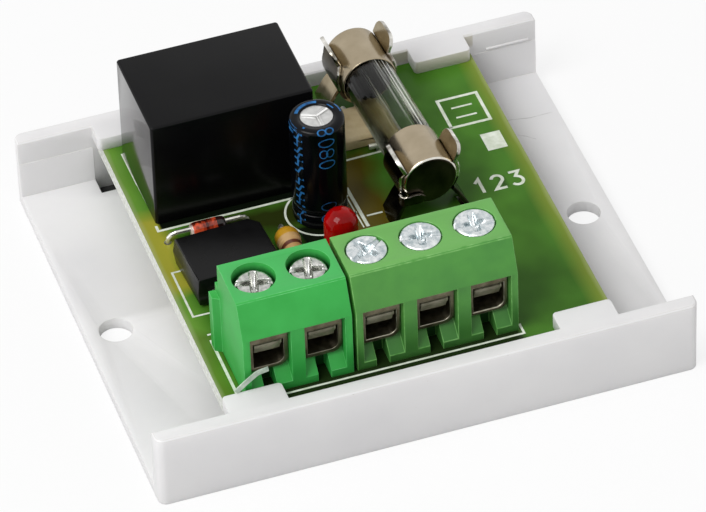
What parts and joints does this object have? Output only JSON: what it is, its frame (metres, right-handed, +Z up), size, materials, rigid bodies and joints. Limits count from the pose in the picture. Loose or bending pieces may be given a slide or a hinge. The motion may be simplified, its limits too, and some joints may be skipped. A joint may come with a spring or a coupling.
{
  "type": "relay module",
  "caption": "Relay board with fuse, indicator and screw terminal blocks, snapped into an open white tray that screws to a wall or box.",
  "frame": {"origin": "on the tray's underside, under the middle of the tray", "axes": "+Z up from the wall or table it is fixed to, +X along the tray's two walls to the right as seen from the terminal side, +Y from the terminal side to the relay side"},
  "size_m": [0.0504, 0.0438, 0.0177],
  "materials": {
    "white_abs": "white moulded ABS",
    "laminate": "green solder mask on glass-fibre laminate",
    "solder": "bright soft solder",
    "black_plastic": "black moulded plastic",
    "bobbin_plastic": "natural nylon",
    "copper_winding": "enamelled copper wire",
    "soft_iron": "zinc-plated soft iron",
    "contact_alloy": "bronze strip with silver buttons",
    "green_plastic_bright": "bright green polyamide",
    "green_plastic_dull": "duller green polyamide",
    "zinc_plated": "bright zinc-plated steel",
    "cage_steel": "nickel-plated steel strip",
    "tin_plated": "tin-plated copper wire and strip",
    "can_aluminium": "drawn aluminium can",
    "sleeve_film": "shrunk black plastic film with blue print",
    "plug_rubber": "black rubber plug",
    "foil_roll": "paper and foil winding",
    "diode_glass": "orange-tinted glass over the chip",
    "resistor_enamel": "tan lacquer with colour bands",
    "led_epoxy": "clear red epoxy",
    "dipped_coat": "tan dipped coating",
    "nickel": "nickel-plated brass",
    "clear_glass": "clear glass tube",
    "spring_nickel": "nickel-plated spring brass"
  },
  "bodies": {
    "module": {"base_tray": "white_abs", "circuit_board": "laminate", "solder_joints": "solder", "relay_cover": "black_plastic", "relay_base": "black_plastic", "relay_bobbin": "bobbin_plastic", "relay_coil": "copper_winding", "relay_core": "soft_iron", "relay_yoke": "soft_iron", "relay_coil_pins": "tin_plated", "relay_contact_closed": "contact_alloy", "relay_contact_open": "contact_alloy", "terminal_2way_housing": "green_plastic_bright", "terminal_3way_housing": "green_plastic_dull", "terminal_2way_plates": "tin_plated", "terminal_3way_plates": "tin_plated", "capacitor_can": "can_aluminium", "capacitor_sleeve": "sleeve_film", "capacitor_plug": "plug_rubber", "capacitor_roll": "foil_roll", "capacitor_leads": "tin_plated", "bridge_body": "black_plastic", "bridge_pins": "tin_plated", "diode_body": "diode_glass", "diode_leads": "tin_plated", "resistor_body": "resistor_enamel", "resistor_leads": "tin_plated", "led_lens": "led_epoxy", "led_leads": "tin_plated", "flat_capacitor_body": "dipped_coat", "flat_capacitor_leads": "tin_plated", "fuse_clip_front": "spring_nickel", "fuse_clip_rear": "spring_nickel"},
    "relay_armature": {"relay_armature": "soft_iron", "relay_contact_blade": "contact_alloy"},
    "fuse": {"fuse_glass": "clear_glass", "fuse_cap_front": "nickel", "fuse_cap_rear": "nickel", "fuse_wire": "tin_plated"},
    "clamp_screw_1": {"clamp_screw_1": "zinc_plated"},
    "clamp_cage_1": {"clamp_cage_1": "cage_steel"},
    "clamp_screw_2": {"clamp_screw_2": "zinc_plated"},
    "clamp_cage_2": {"clamp_cage_2": "cage_steel"},
    "clamp_screw_3": {"clamp_screw_3": "zinc_plated"},
    "clamp_cage_3": {"clamp_cage_3": "cage_steel"},
    "clamp_screw_4": {"clamp_screw_4": "zinc_plated"},
    "clamp_cage_4": {"clamp_cage_4": "cage_steel"},
    "clamp_screw_5": {"clamp_screw_5": "zinc_plated"},
    "clamp_cage_5": {"clamp_cage_5": "cage_steel"}
  },
  "joints": [
    {"name": "clamp_screw_1_turn", "type": "hinge", "parent": "module", "child": "clamp_screw_1", "pos_m": [-0.01327, -0.0137, 0.0145], "axis": [0, 0, -1], "range_deg": [0, 900]},
    {"name": "clamp_cage_1_rise", "type": "slide", "parent": "module", "child": "clamp_cage_1", "axis": [0, 0, 1], "range_m": [0, 0.00125]},
    {"name": "clamp_screw_2_turn", "type": "hinge", "parent": "module", "child": "clamp_screw_2", "pos_m": [-0.00827, -0.0137, 0.0145], "axis": [0, 0, -1], "range_deg": [0, 900]},
    {"name": "clamp_cage_2_rise", "type": "slide", "parent": "module", "child": "clamp_cage_2", "axis": [0, 0, 1], "range_m": [0, 0.00125]},
    {"name": "clamp_screw_3_turn", "type": "hinge", "parent": "module", "child": "clamp_screw_3", "pos_m": [-0.00287, -0.0137, 0.0145], "axis": [0, 0, -1], "range_deg": [0, 900]},
    {"name": "clamp_cage_3_rise", "type": "slide", "parent": "module", "child": "clamp_cage_3", "axis": [0, 0, 1], "range_m": [0, 0.00125]},
    {"name": "clamp_screw_4_turn", "type": "hinge", "parent": "module", "child": "clamp_screw_4", "pos_m": [0.00213, -0.0137, 0.0145], "axis": [0, 0, -1], "range_deg": [0, 900]},
    {"name": "clamp_cage_4_rise", "type": "slide", "parent": "module", "child": "clamp_cage_4", "axis": [0, 0, 1], "range_m": [0, 0.00125]},
    {"name": "clamp_screw_5_turn", "type": "hinge", "parent": "module", "child": "clamp_screw_5", "pos_m": [0.00713, -0.0137, 0.0145], "axis": [0, 0, -1], "range_deg": [0, 900]},
    {"name": "clamp_cage_5_rise", "type": "slide", "parent": "module", "child": "clamp_cage_5", "axis": [0, 0, 1], "range_m": [0, 0.00125]},
    {"name": "relay_armature_pivot", "type": "hinge", "parent": "module", "child": "relay_armature", "pos_m": [-0.00479, 0.01193, 0.0162], "axis": [0, 1, 0], "range_deg": [0, 2.5], "stiffness_Nm_per_rad": 0.002, "springref_deg": -11.46},
    {"name": "fuse_lift_out", "type": "slide", "parent": "module", "child": "fuse", "axis": [0, 0, 1], "range_m": [0, 0.008], "deforming": ["fuse_clip_front", "fuse_clip_rear"]}
  ],
  "couplings": [
    {"joint": "clamp_screw_1_turn", "follows": "clamp_cage_1_rise", "rad_per_m": 12566},
    {"joint": "clamp_screw_2_turn", "follows": "clamp_cage_2_rise", "rad_per_m": 12566},
    {"joint": "clamp_screw_3_turn", "follows": "clamp_cage_3_rise", "rad_per_m": 12566},
    {"joint": "clamp_screw_4_turn", "follows": "clamp_cage_4_rise", "rad_per_m": 12566},
    {"joint": "clamp_screw_5_turn", "follows": "clamp_cage_5_rise", "rad_per_m": 12566}
  ]
}
